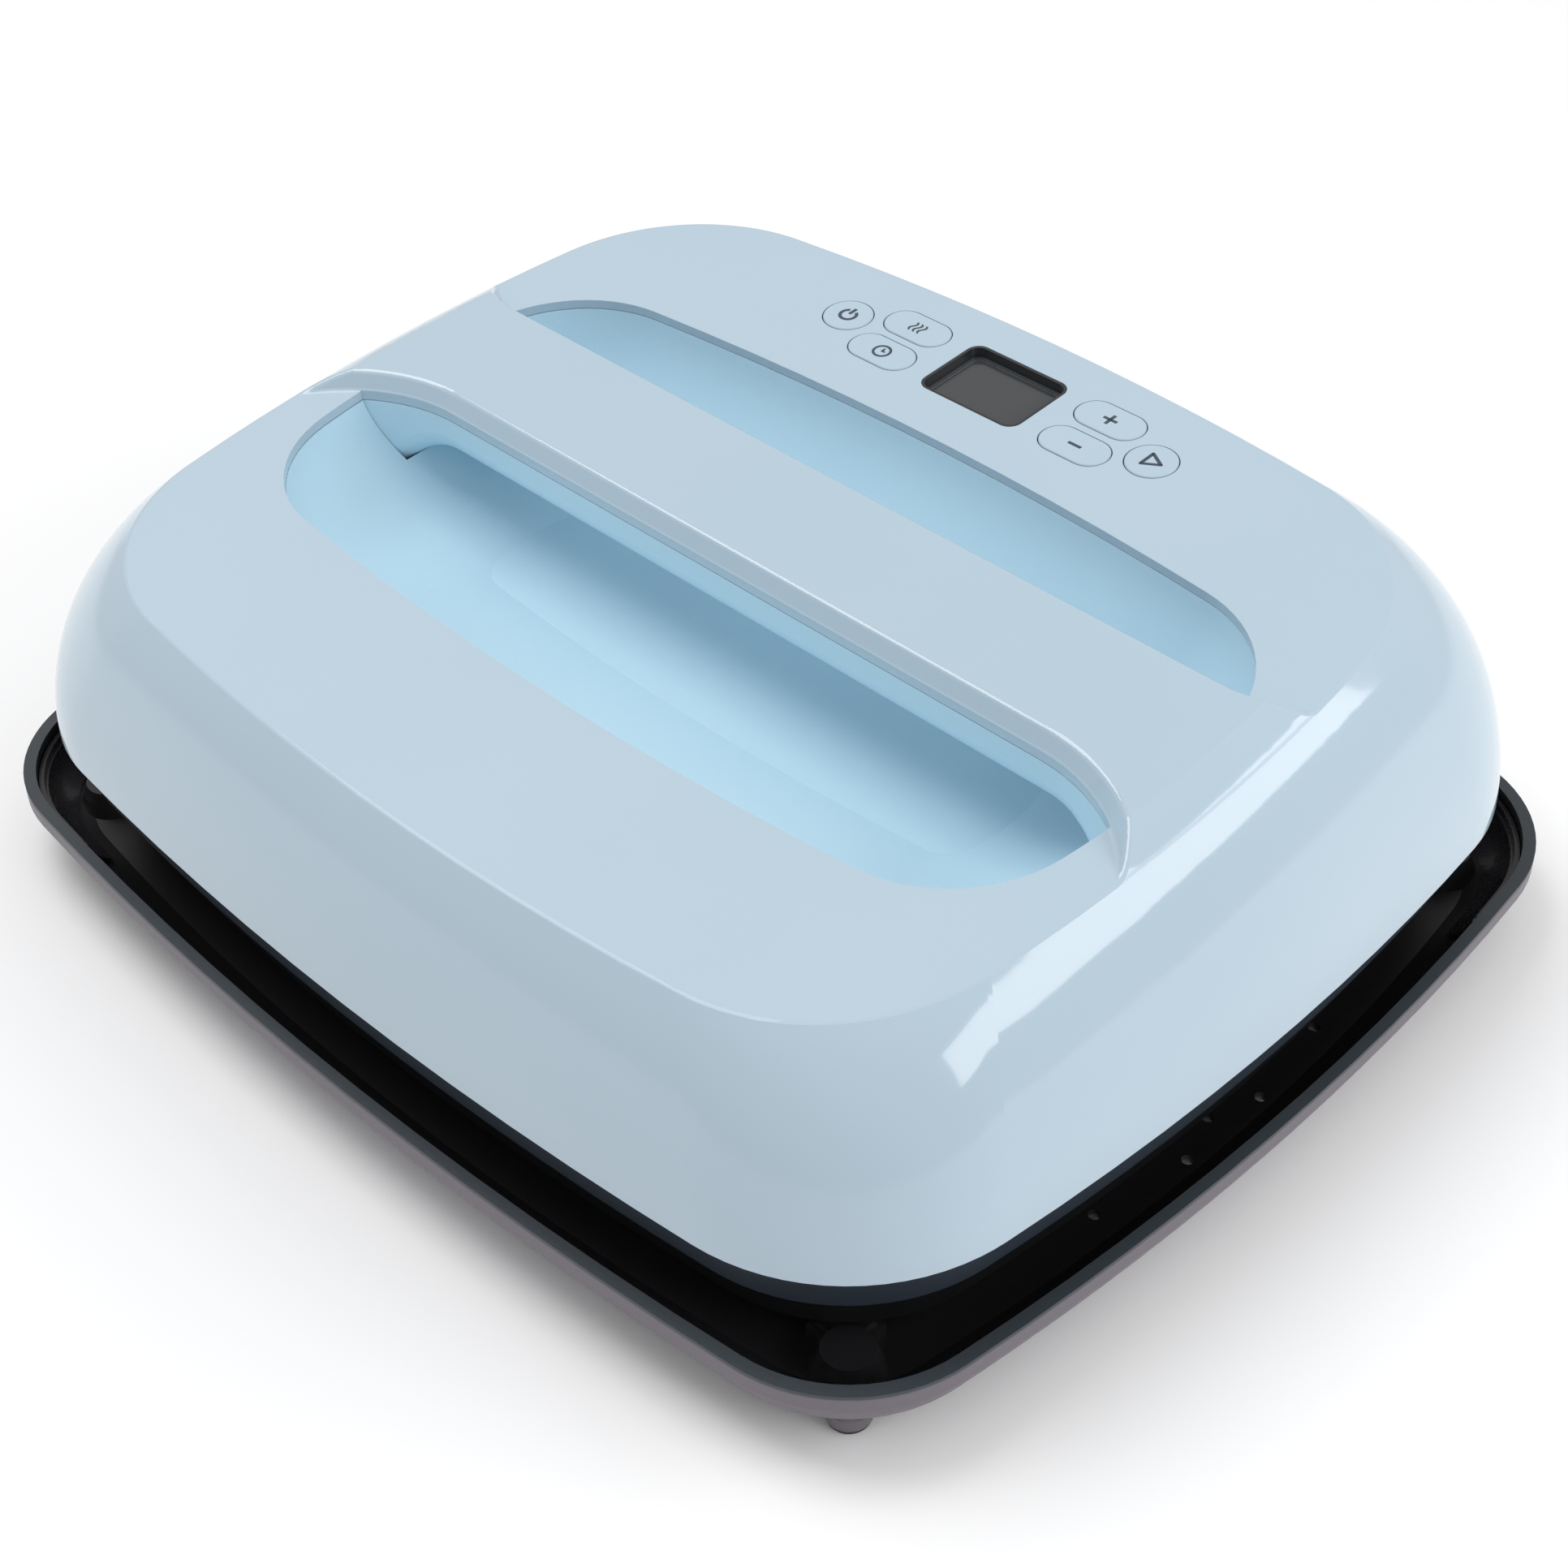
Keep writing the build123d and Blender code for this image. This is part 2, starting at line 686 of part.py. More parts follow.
def chassis_frame():
    """Dark skirt under the housing with a wide flange that everything is screwed to."""
    skirt = slab(centred(skirt_half_x, skirt_half_y, skirt_corner), skirt_bottom, skirt_top)
    inner_x = skirt_half_x - skirt_wall
    inner_y = skirt_half_y - skirt_wall
    skirt -= slab(centred(inner_x, inner_y, skirt_corner - skirt_wall), skirt_bottom, skirt_top)
    reach = wall + sheet_clear
    flange_x = shell_width / 2 - reach
    flange_y = shell_depth / 2 - reach
    flange = slab(centred(flange_x, flange_y, shell_corner - reach), skirt_top, flange_top)
    hole = centred(flange_x - flange_width, flange_y - flange_width, 14)
    frame = skirt + flange - slab(hole, skirt_top, flange_top)
    for x, y in power_post_spots:
        frame += cylinder(x, y, skirt_top, power_board_bottom, 3.0)
        frame -= cylinder(x, y, skirt_top + 1, power_board_bottom, screw_radius + bore_clear)
    for side in (-1, 1):
        frame -= Pos(side * lead_x, lead_y, skirt_top) * Box(5, 12, 4 * flange_thickness)
    holes = post_spots + liner_post_spots + standoff_spots
    return drilled(frame, holes, screw_radius + screw_clear, skirt_bottom, power_board_bottom)


def plate_surround():
    """Heat-proof black collar round the heat plate, inside the skirt."""
    reach = skirt_inset + surround_inset + 0.2
    inner = reach + surround_wall
    outside = centred(shell_width / 2 - reach, shell_depth / 2 - reach, shell_corner - reach)
    inside = centred(shell_width / 2 - inner, shell_depth / 2 - inner, shell_corner - inner)
    return slab(outside, plate_bottom + surround_lift, skirt_top) - slab(inside, plate_bottom, skirt_top)


def heat_sheet(inset, low, high):
    """Flat sheet that follows the heat plate's outline."""
    face = centred(plate_width / 2 - inset, plate_depth / 2 - inset, plate_corner - inset)
    return slab(face, low, high)


def heat_plate():
    plate = heat_sheet(0.0, plate_bottom, plate_top)
    plate = chamfer(plate.edges().group_by(Axis.Z)[0], 1.0)
    plate = drilled(plate, clamp_spots, screw_radius + bore_clear, plate_top - tapped_depth, plate_top)
    return drilled(plate, standoff_spots, screw_radius + bore_clear, plate_top - tapped_depth, plate_top)


def mica_heater():
    heater = heat_sheet(4.0, plate_top, heater_top)
    return drilled(heater, clamp_spots + standoff_spots, screw_radius + 0.5, plate_top, heater_top)


def heater_clamp():
    clamp = heat_sheet(3.0, heater_top, clamp_top)
    return drilled(clamp, clamp_spots + standoff_spots, screw_radius + screw_clear, heater_top, clamp_top)


def clamp_screws():
    return group(screw(x, y, plate_top - tapped_depth + 0.5, clamp_top) for x, y in clamp_spots)


def sensor_window():
    """Opening in the blanket over the sensor, the fuses and the heater's tabs."""
    return Box(window_x, window_y, 200)


def insulation_blanket():
    blanket = heat_sheet(8.0, clamp_top, blanket_top) - sensor_window()
    blanket = drilled(blanket, clamp_spots, screw_head_radius + 0.5, clamp_top, clamp_top + screw_head + 0.5)
    return drilled(blanket, standoff_spots, standoff_radius + 0.3, clamp_top, blanket_top)


def heat_shield():
    shield = heat_sheet(2.0, blanket_top, shield_top) - sensor_window()
    return drilled(shield, standoff_spots, standoff_radius + 0.3, blanket_top, shield_top)


def ceramic_standoffs():
    posts = []
    for x, y in standoff_spots:
        post = cylinder(x, y, clamp_top, skirt_top, standoff_radius)
        posts.append(post - cylinder(x, y, clamp_top, skirt_top, screw_radius + screw_clear))
    return group(posts)


def standoff_screws():
    return group(screw(x, y, plate_top - tapped_depth + 0.5, flange_top) for x, y in standoff_spots)


def chassis_screws():
    """Screws from under the flange up into the housing's and the pocket's posts."""
    up = [screw(x, y, flange_top + 9, skirt_top, -1) for x, y in post_spots + liner_post_spots]
    return group(up)


def plate_sensor():
    return cylinder(0, sensor_y, clamp_top, clamp_top + 3.5, 2.2)


def sensor_clip():
    strap = Pos(0, sensor_y, clamp_top + 3.5 + 0.4) * Box(14, 5, 0.8)
    for side in (-1, 1):
        strap += Pos(side * 6.6, sensor_y, clamp_top + 1.95) * Box(0.8, 5, 3.9)
    return strap


def thermal_fuses():
    fuses = []
    for side in (-1, 1):
        body = Rot(0, 90, 0) * Cylinder(2.0, 11)
        leads = Rot(0, 90, 0) * Cylinder(0.5, 26)
        fuses.append(Pos(0, side * fuse_y, clamp_top + 2.6) * (body + leads))
    return group(fuses)


def heater_tabs():
    tabs = []
    for side in (-1, 1):
        foot = Pos(side * tab_x, 0, clamp_top + 0.4) * Box(7, 6, 0.8)
        blade = Pos(side * lead_x, 0, clamp_top + 4.4) * Box(0.8, 6, 8.8)
        tabs.append(foot + blade)
    return group(tabs)


def wire(points, radius, bend):
    """Round wire along straight runs joined by arcs."""
    path = FilletPolyline(*points, radius=bend)
    section = Plane(origin=path @ 0, z_dir=path % 0) * Circle(radius)
    return sweep(section, path=path)


def heater_leads():
    leads = []
    for side in (-1, 1):
        x = side * lead_x
        run = skirt_top - 3
        points = [(x, 0, clamp_top + 9), (x, 0, run), (x, lead_y, run), (x, lead_y, power_board_bottom)]
        leads.append(wire(points, 1.3, 3))
    return group(leads)


def panel_harness():
    """Flat bundle from the power board, under the pocket, up to the control board."""
    low = shield_top + 12
    front = power_board_y + power_board_depth / 2 + 4
    x = harness_x
    up = deck_height + slope * (board_y - 6) - board_drop - board_thickness - 1.5
    back = board_y - 6
    points = [(x, front, power_board_bottom + 2), (x, front + 8, low), (x, back, low), (x, back, up)]
    return wire(points, 1.9, 5)


# ---- power electronics ----
def power_board():
    face = Pos(0, power_board_y) * RectangleRounded(power_board_width, power_board_depth, 2)
    board = slab(face, power_board_bottom, power_board_bottom + board_thickness)
    top = power_board_bottom + board_thickness
    return drilled(board, power_post_spots, screw_radius + bore_clear, power_board_bottom, top)


def power_screws():
    top = power_board_bottom + board_thickness
    return group(screw(x, y, top - 8, top) for x, y in power_post_spots)


def on_board(x, y, length, depth, height):
    base = power_board_bottom + board_thickness
    return Pos(x, power_board_y + y, base + height / 2) * Box(length, depth, height)


def transformer():
    core = on_board(-30, 1, 20, 24, 22)
    return core + on_board(-30, 1, 28, 18, 17)


def relay():
    return chamfer(on_board(2, -3, 20, 15, 15).edges().group_by(Axis.Z)[-1], 0.8)


def smoothing_capacitor():
    base = power_board_bottom + board_thickness
    can = cylinder(22, power_board_y - 4, base, base + 20, 6.5)
    return chamfer(can.edges().group_by(Axis.Z)[-1], 0.8)


def triac():
    body = on_board(20, 8, 10, 4.5, 16)
    return body + on_board(20, 11, 16, 1.6, 22)


def mains_fuse():
    base = power_board_bottom + board_thickness
    tube = Pos(-4, power_board_y + 9, base + 4) * Rot(0, 90, 0) * Cylinder(2.6, 20)
    clips = [on_board(-4 + side * 8, 9, 3, 6, 5) for side in (-1, 1)]
    return tube + clips


def terminal_block():
    x = 36
    block = on_board(x, 3, 12, 22, 11)
    for step in (-1, 0, 1):
        top = power_board_bottom + board_thickness + 11
        block -= cylinder(x, power_board_y + 3 + step * 7, top - 6, top, 2.0)
    return block


def earth_terminal():
    """Ring tag and screw that bond the heat shield."""
    x = plate_width / 2 - 60
    ring = cylinder(x, -60, shield_top, shield_top + 0.8, 4.5)
    return ring + cylinder(x, -60, shield_top, shield_top + 3.2, 3.0)


def cord_bush():
    """Rubber bush where the mains lead passes through the rear wall."""
    wall_y = rear_wall(bush_x, bush_height)
    bush = rear_disc(wall_y - bush_seat, wall_y + 2.4, bush_flange)
    bush += rear_disc(wall_y - 12, wall_y, bush_radius)
    bush += rear_disc(wall_y + 2.4, wall_y + 9, bush_radius - 1.2)
    return bush - rear_disc(wall_y - 20, wall_y + 20, bush_bore)


def bush_nut():
    middle = rear_wall(bush_x, bush_height) - bush_seat - bush_pad - 3.0
    place = Pos(bush_x, middle, bush_height) * Rot(90, 0, 0)
    nut = extrude(RegularPolygon(bush_radius + 3.2, 6), 2, both=True)
    return place * (nut - Cylinder(bush_radius + bore_clear / 2, 30))


def handle_screws():
    screws = []
    for x in handle_post_x:
        seat = handle_floor(handle_mid) + 0.4
        screws.append(screw(x, handle_mid, seat + boss_pilot, seat, -1))
    return group(screws)


pieces = {
    "base_tray": base_tray,
    "base_mat": base_mat,
    "rest_pads": rest_pads,
    "foot_pads": foot_pads,
    "corner_guards": corner_guards,
    "upper_housing": upper_housing,
    "handle_underside": handle_underside,
    "pocket_liner": pocket_liner,
    "handle_screws": handle_screws,
    "panel_frame": panel_frame,
    "display_lens": display_lens,
    "display_module": display_module,
    "display_backlight": display_backlight,
    "control_board": control_board,
    "board_screws": board_screws,
    "tactile_switches": tactile_switches,
    "key_guide": key_guide,
    "buzzer": buzzer,
    "chassis_frame": chassis_frame,
    "plate_surround": plate_surround,
    "heat_plate": heat_plate,
    "mica_heater": mica_heater,
    "heater_clamp": heater_clamp,
    "clamp_screws": clamp_screws,
    "insulation_blanket": insulation_blanket,
    "heat_shield": heat_shield,
    "ceramic_standoffs": ceramic_standoffs,
    "standoff_screws": standoff_screws,
    "chassis_screws": chassis_screws,
    "plate_sensor": plate_sensor,
    "sensor_clip": sensor_clip,
    "thermal_fuses": thermal_fuses,
    "heater_tabs": heater_tabs,
    "heater_leads": heater_leads,
    "panel_harness": panel_harness,
    "power_board": power_board,
    "power_screws": power_screws,
    "transformer": transformer,
    "relay": relay,
    "smoothing_capacitor": smoothing_capacitor,
    "triac": triac,
    "mains_fuse": mains_fuse,
    "terminal_block": terminal_block,
    "earth_terminal": earth_terminal,
    "cord_bush": cord_bush,
    "bush_nut": bush_nut,
}

os.makedirs("parts", exist_ok=True)
for name, make in pieces.items():
    export_step(make(), f"parts/{name}.step")
for name, (outline, x, y) in key_plans().items():
    export_step(key(outline, x, y), f"parts/{name}.step")
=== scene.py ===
import math

import bmesh
import bpy
from mathutils import Matrix, Vector


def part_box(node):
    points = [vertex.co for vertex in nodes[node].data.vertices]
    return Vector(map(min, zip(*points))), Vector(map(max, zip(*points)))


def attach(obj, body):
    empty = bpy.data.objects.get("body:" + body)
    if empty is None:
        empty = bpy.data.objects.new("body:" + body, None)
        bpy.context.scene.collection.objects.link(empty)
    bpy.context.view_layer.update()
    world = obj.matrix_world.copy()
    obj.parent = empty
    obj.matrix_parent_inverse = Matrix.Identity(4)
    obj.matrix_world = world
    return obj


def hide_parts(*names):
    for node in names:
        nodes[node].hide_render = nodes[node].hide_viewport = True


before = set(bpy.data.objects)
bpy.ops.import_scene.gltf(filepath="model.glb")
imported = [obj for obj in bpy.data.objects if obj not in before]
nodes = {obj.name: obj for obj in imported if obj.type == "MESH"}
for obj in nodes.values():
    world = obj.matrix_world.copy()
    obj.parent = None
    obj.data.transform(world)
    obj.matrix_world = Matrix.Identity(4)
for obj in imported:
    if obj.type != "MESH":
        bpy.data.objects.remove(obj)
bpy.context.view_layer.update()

scene = bpy.context.scene

# ---- camera ----
# A long lens that looks down on the near right corner of the press.
camera_data = bpy.data.cameras.new("camera")
camera_data.sensor_width = 36.0
camera_data.lens = 62.25
camera = bpy.data.objects.new("camera", camera_data)
scene.collection.objects.link(camera)
climb, swing, roll = math.radians(39.84), math.radians(45.32), math.radians(-1.0)
away = Vector((math.sin(swing) * math.cos(climb), -math.cos(swing) * math.cos(climb), math.sin(climb)))
level = away.to_track_quat("Z", "Y").to_matrix()
camera.location = (0.4013, -0.3892, 0.4908)
camera.rotation_euler = (level @ Matrix.Rotation(roll, 3, "Z")).to_euler()
scene.camera = camera

# ---- floor ----
# A sweep of white paper under the tray, with no seam and no sheen. It is matt, and its fibres
# leave a faint unevenness that keeps the shadow's edge soft.


def linear(code):
    """sRGB hex colour as linear red, green, blue and a full alpha."""
    parts = [int(code[i:i + 2], 16) / 255 for i in (1, 3, 5)]
    return [c / 12.92 if c <= 0.04045 else ((c + 0.055) / 1.055) ** 2.4 for c in parts] + [1.0]


def add(tree, kind, links=(), **settings):
    """Adds a node, sets its sockets or properties by name, and links (socket, source) pairs to it."""
    node = tree.nodes.new(kind)
    for name, value in settings.items():
        socket = node.inputs.get(name.replace("_", " "))
        if socket is not None:
            socket.default_value = value
        else:
            setattr(node, name, value)
    for socket, source in links:
        tree.links.new(source, node.inputs[socket])
    return node


def material(name, colour, roughness, metallic=0.0, coat=0.0, coat_roughness=0.05):
    """A new material with its shader set to constant values. Returns it, its tree and its shader."""
    made = bpy.data.materials.new(name)
    made.use_nodes = True
    shader = made.node_tree.nodes["Principled BSDF"]
    shader.inputs["Base Color"].default_value = linear(colour)
    shader.inputs["Roughness"].default_value = roughness
    shader.inputs["Metallic"].default_value = metallic
    shader.inputs["Coat Weight"].default_value = coat
    shader.inputs["Coat Roughness"].default_value = coat_roughness
    return made, made.node_tree, shader


def drive(tree, shader, colour, roughness, height, depth_mm, strength=0.6):
    """Lets a pattern set the shader's colour, its gloss and the relief of its surface."""
    bump = add(tree, "ShaderNodeBump", [("Height", height)], Distance=depth_mm / 1000, Strength=strength)
    tree.links.new(colour, shader.inputs["Base Color"])
    tree.links.new(roughness, shader.inputs["Roughness"])
    tree.links.new(bump.outputs["Normal"], shader.inputs["Normal"])


def surface(name, light, dark, rough_low, rough_high, grain_mm, depth_mm, patch_mm=60.0, **values):
    """A finish whose colour and gloss drift over patches, with a fine raised grain."""
    made, tree, shader = material(name, light, rough_low, **values)
    place = add(tree, "ShaderNodeTexCoord").outputs["Object"]
    patch = add(tree, "ShaderNodeTexNoise", [("Vector", place)], Scale=1000 / patch_mm, Detail=4.0)
    grain = add(tree, "ShaderNodeTexNoise", [("Vector", place)], Scale=1000 / grain_mm, Detail=3.0)
    tint = add(tree, "ShaderNodeMix", [("Factor", patch.outputs["Fac"])],
               data_type="RGBA", A=linear(light), B=linear(dark))
    gloss = add(tree, "ShaderNodeMapRange", [("Value", grain.outputs["Fac"])],
                To_Min=rough_low, To_Max=rough_high)
    drive(tree, shader, tint.outputs["Result"], gloss.outputs["Result"], grain.outputs["Fac"], depth_mm)
    return made


bpy.ops.object.select_all(action="DESELECT")
bpy.ops.mesh.primitive_plane_add(size=8.0)
floor = bpy.context.object
floor.name = "floor"
floor.data.materials.append(surface("paper_matt_white", "#FFFFFF", "#FAFAFB", 0.6, 0.75, 2.0, 0.02, 400.0))

# ---- light ----
# White studio walls, a long soft box beside the right shoulder that lays one pale streak on it, and
# a square one over the left side that picks out the edges of the deck and the handle.
world = bpy.data.worlds.new("studio")
scene.world = world
world.use_nodes = True
world.node_tree.nodes["Background"].inputs["Color"].default_value = (1.0, 1.0, 1.0, 1.0)
world.node_tree.nodes["Background"].inputs["Strength"].default_value = 0.62
scene.view_settings.view_transform = "Standard"
soft_boxes = (
    ("shoulder_box", (1.07, 0.42, 0.69), (0.15, -0.05, 0.08), 1.2, 0.42, 6.5),
    ("top_box", (-0.75, -0.2, 1.6), (0.0, 0.0, 0.05), 1.0, 1.0, 13.0),
)
for name, place, aim, width, height, power in soft_boxes:
    lamp = bpy.data.lights.new(name, "AREA")
    lamp.shape = "RECTANGLE"
    lamp.size = width
    lamp.size_y = height
    lamp.energy = power
    box = bpy.data.objects.new(name, lamp)
    scene.collection.objects.link(box)
    box.location = place
    box.rotation_euler = (Vector(place) - Vector(aim)).to_track_quat("Z", "Y").to_euler()

# ---- base tray ----
# The stand that the hot press is parked on: one compression moulding of heat-proof charcoal
# plastic, with corner guards of the same plastic screwed in over the feet.


def wear(finish, *names):
    """Puts a finish on the material slots of CAD nodes."""
    for name in names:
        mesh = nodes[name].data
        if not mesh.materials:
            mesh.materials.append(finish)
        for index in range(len(mesh.materials)):
            mesh.materials[index] = finish


def tray_nearness(tree, split):
    """Grows from 0 at the tray's middle to 1 at its outline."""
    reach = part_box("base_tray")[1]
    total = add(tree, "ShaderNodeMath", operation="ADD")
    for index, (axis, half) in enumerate((("X", reach.x), ("Y", reach.y))):
        share = add(tree, "ShaderNodeMath", [(0, split.outputs[axis])], operation="DIVIDE")
        share.inputs[1].default_value = half
        power = add(tree, "ShaderNodeMath", [(0, share.outputs["Value"])], operation="POWER")
        power.inputs[1].default_value = 8.0
        tree.links.new(power.outputs["Value"], total.inputs[index])
    return total.outputs["Value"]


def tray_finish():
    """Thermoset plastic: satin charcoal rim, near-black inside, fine lilac-grey grain outside."""
    made, tree, shader = material("thermoset_moulded_charcoal", "#17181B", 0.4)
    coordinates = add(tree, "ShaderNodeTexCoord")
    place = coordinates.outputs["Object"]
    split = add(tree, "ShaderNodeSeparateXYZ", [("Vector", place)])
    flat = add(tree, "ShaderNodeVectorMath", [(0, place)], operation="MULTIPLY")
    flat.inputs[1].default_value = (1.0, 1.0, 0.0)
    outward = add(tree, "ShaderNodeVectorMath",
                  [(0, flat.outputs["Vector"]), (1, coordinates.outputs["Normal"])], operation="DOT_PRODUCT")
    outside = add(tree, "ShaderNodeMapRange", [("Value", outward.outputs["Value"])],
                  From_Min=0.02, From_Max=0.05)
    near_edge = add(tree, "ShaderNodeMapRange", [("Value", tray_nearness(tree, split))],
                    From_Min=0.50, From_Max=0.56)
    foot = add(tree, "ShaderNodeMapRange", [("Value", split.outputs["Z"])],
               From_Min=0.005, From_Max=0.0056, To_Min=1.0, To_Max=0.0)
    where = add(tree, "ShaderNodeMath",
                [(0, near_edge.outputs["Result"]), (1, foot.outputs["Result"])], operation="MAXIMUM")
    grained = add(tree, "ShaderNodeMath",
                  [(0, outside.outputs["Result"]), (1, where.outputs["Value"])], operation="MULTIPLY")
    rim = add(tree, "ShaderNodeMapRange", [("Value", split.outputs["Z"])], From_Min=0.0226, From_Max=0.0232)
    side = add(tree, "ShaderNodeMix", [("Factor", grained.outputs["Value"])],
               data_type="RGBA", A=linear("#1E1D20"), B=linear("#6A646C"))
    whole = add(tree, "ShaderNodeMix", [("Factor", rim.outputs["Result"])], data_type="RGBA",
                B=linear("#30373D"))
    tree.links.new(side.outputs["Result"], whole.inputs["A"])
    grain = add(tree, "ShaderNodeTexNoise", [("Vector", place)], Scale=1000 / 0.7, Detail=3.0)
    gloss = add(tree, "ShaderNodeMapRange", [("Value", grain.outputs["Fac"])], To_Min=0.34, To_Max=0.5)
    drive(tree, shader, whole.outputs["Result"], gloss.outputs["Result"], grain.outputs["Fac"], 0.05)
    return made


wear(tray_finish(), "base_tray")
# The guards came from a smoother mould, so they catch a little more light than the tray.
wear(surface("thermoset_smooth_grey", "#2A282C", "#242226", 0.22, 0.32, 0.8, 0.02), "corner_guards")

# ---- feet, rests and cord bush ----
# Moulded silicone rubber: pads glued under the feet and on the rests, and the cord's inlet bush,
# which a nut holds in the back wall. It is dull and faintly mottled, with dust in its skin.
wear(surface("silicone_moulded_grey", "#2B2A2E", "#343237", 0.55, 0.7, 0.9, 0.04, 12.0),
     "foot_pads", "rest_pads", "cord_bush")

# ---- insulating mat ----
# A waffle of heat-proof foam faced with glass cloth, laid loose on the tray's floor and cut away
# round the rests. Its raised cells keep the hot plate off the tray.
mat_low, mat_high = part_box("base_mat")
cell = 0.0128
cell_rise = 0.0007
groove = 0.0013
crown_inset = 0.0009
edge_margin = 0.006
corner_reach, corner_radius = 0.016, 0.014
rest_radius, rest_clear = 0.007, 0.0185
rest_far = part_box("rest_pads")[1]
rest_x, rest_y = rest_far.x - rest_radius, rest_far.y - rest_radius
across = int((mat_high.x - mat_low.x - edge_margin) / cell)
along = int((mat_high.y - mat_low.y - edge_margin) / cell)


def begin():
    """Leaves object mode clean, with nothing selected."""
    if bpy.context.object and bpy.context.object.mode != "OBJECT":
        bpy.ops.object.mode_set(mode="OBJECT")
    bpy.ops.object.select_all(action="DESELECT")


def pick_faces(piece, wanted):
    """In edit mode, selects the faces that answer a test and no others."""
    bpy.ops.mesh.select_mode(type="FACE")
    shape = bmesh.from_edit_mesh(piece.data)
    for face in shape.faces:
        face.select_set(bool(wanted(face)))
    bmesh.update_edit_mesh(piece.data)


def cut_away(face):
    """True where a cell lies on a rest or past a rounded corner."""
    spot = face.calc_center_median()
    on_rest = math.hypot(abs(spot.x) - rest_x, abs(spot.y) - rest_y) < rest_clear
    past = (abs(spot.x) - mat_high.x + corner_reach, abs(spot.y) - mat_high.y + corner_reach)
    return on_rest or (min(past) > 0 and math.hypot(*past) > corner_radius)


def glass_cloth():
    """Plain-woven glass cloth soaked in black silicone: threads 0.9 mm apart, shiny on their crowns."""
    thread_mm = 0.9
    bands = 1000 / thread_mm / 20
    made, tree, shader = material("glass_cloth_black_silicone", "#1A1A1C", 0.6)
    place = add(tree, "ShaderNodeTexCoord").outputs["Object"]
    warp = add(tree, "ShaderNodeTexWave", [("Vector", place)], Scale=bands, bands_direction="X")
    weft = add(tree, "ShaderNodeTexWave", [("Vector", place)], Scale=bands, bands_direction="Y")
    weave = add(tree, "ShaderNodeMath",
                [(0, warp.outputs["Fac"]), (1, weft.outputs["Fac"])], operation="MULTIPLY")
    tint = add(tree, "ShaderNodeMix", [("Factor", weave.outputs["Value"])],
               data_type="RGBA", A=linear("#131314"), B=linear("#29292C"))
    gloss = add(tree, "ShaderNodeMapRange", [("Value", weave.outputs["Value"])], To_Min=0.65, To_Max=0.45)
    drive(tree, shader, tint.outputs["Result"], gloss.outputs["Result"], weave.outputs["Value"], 0.1, 0.7)
    return made


begin()
bpy.ops.mesh.primitive_grid_add(x_subdivisions=across, y_subdivisions=along, size=1.0)
mat = bpy.context.object
mat.name = "waffle_mat"
mat.scale = (across * cell, along * cell, 1.0)
mat.location = (0.0, 0.0, mat_high.z - cell_rise)
bpy.ops.object.transform_apply(location=True, rotation=True, scale=True)
bpy.ops.object.mode_set(mode="EDIT")
pick_faces(mat, cut_away)
bpy.ops.mesh.delete(type="FACE")
bpy.ops.mesh.select_all(action="SELECT")
thickness = mat_high.z - cell_rise - mat_low.z
bpy.ops.mesh.extrude_region_move(TRANSFORM_OT_translate={"value": (0.0, 0.0, -thickness)})
bpy.ops.mesh.select_all(action="SELECT")
bpy.ops.mesh.normals_make_consistent(inside=False)
pick_faces(mat, lambda face: face.normal.z > 0.9)
bpy.ops.mesh.inset(thickness=groove, use_individual=True)
bpy.ops.mesh.extrude_faces_move(TRANSFORM_OT_shrink_fatten={"value": cell_rise * 0.6})
bpy.ops.mesh.inset(thickness=crown_inset, depth=cell_rise * 0.35, use_individual=True)
bpy.ops.object.mode_set(mode="OBJECT")
mat.data.materials.clear()
mat.data.materials.append(glass_cloth())
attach(mat, "base")
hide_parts("base_mat")

# ---- heat plate ----
# Cast aluminium, 305 by 254 mm, machined flat underneath and sprayed with a dark non-stick coat.
# The coat is smooth and half shiny, with pale flecks of mica about 1.6 mm apart.


def plate_finish():
    """Sprayed fluoropolymer on aluminium, flecked with mica."""
    made, tree, shader = material("nonstick_dark_on_aluminium", "#37383A", 0.32, metallic=0.2, coat=0.2)
    place = add(tree, "ShaderNodeTexCoord").outputs["Object"]
    fleck = add(tree, "ShaderNodeTexVoronoi", [("Vector", place)], Scale=1000 / 1.6)
    reach = fleck.outputs["Distance"]
    point = add(tree, "ShaderNodeMapRange", [("Value", reach)], From_Min=0.05, From_Max=0.14)
    tint = add(tree, "ShaderNodeMix", [("Factor", point.outputs["Result"])],
               data_type="RGBA", A=linear("#7C7D80"), B=linear("#343537"))
    gloss = add(tree, "ShaderNodeMapRange", [("Value", reach)], To_Min=0.26, To_Max=0.4)
    drive(tree, shader, tint.outputs["Result"], gloss.outputs["Result"], reach, 0.03, 0.5)
    return made


wear(plate_finish(), "heat_plate")

# ---- heat pack ----
# What is stacked over the plate: a mica heater, a steel clamp plate, a glass-wool blanket and a
# steel shield, held down by screws and stood off on glazed steatite posts.
# Mica laminate is tan, with a silky, flaking gloss.
wear(surface("mica_laminate", "#A8946C", "#8E7B57", 0.3, 0.5, 3.0, 0.05, 15.0), "mica_heater")
# Glass wool is white, quite dull, and furry at the edges.
wear(surface("glass_wool_white", "#ECEBE6", "#DAD8D0", 0.85, 0.95, 1.2, 0.5, 12.0), "insulation_blanket")
# Zinc-plated sheet is bright grey with cloudy patches, called spangle.
wear(surface("steel_sheet_zinc_plated", "#B4B6B8", "#9FA2A6", 0.28, 0.42, 0.5, 0.01, 20.0, metallic=1.0),
     "heater_clamp", "heat_shield", "sensor_clip", "earth_terminal")
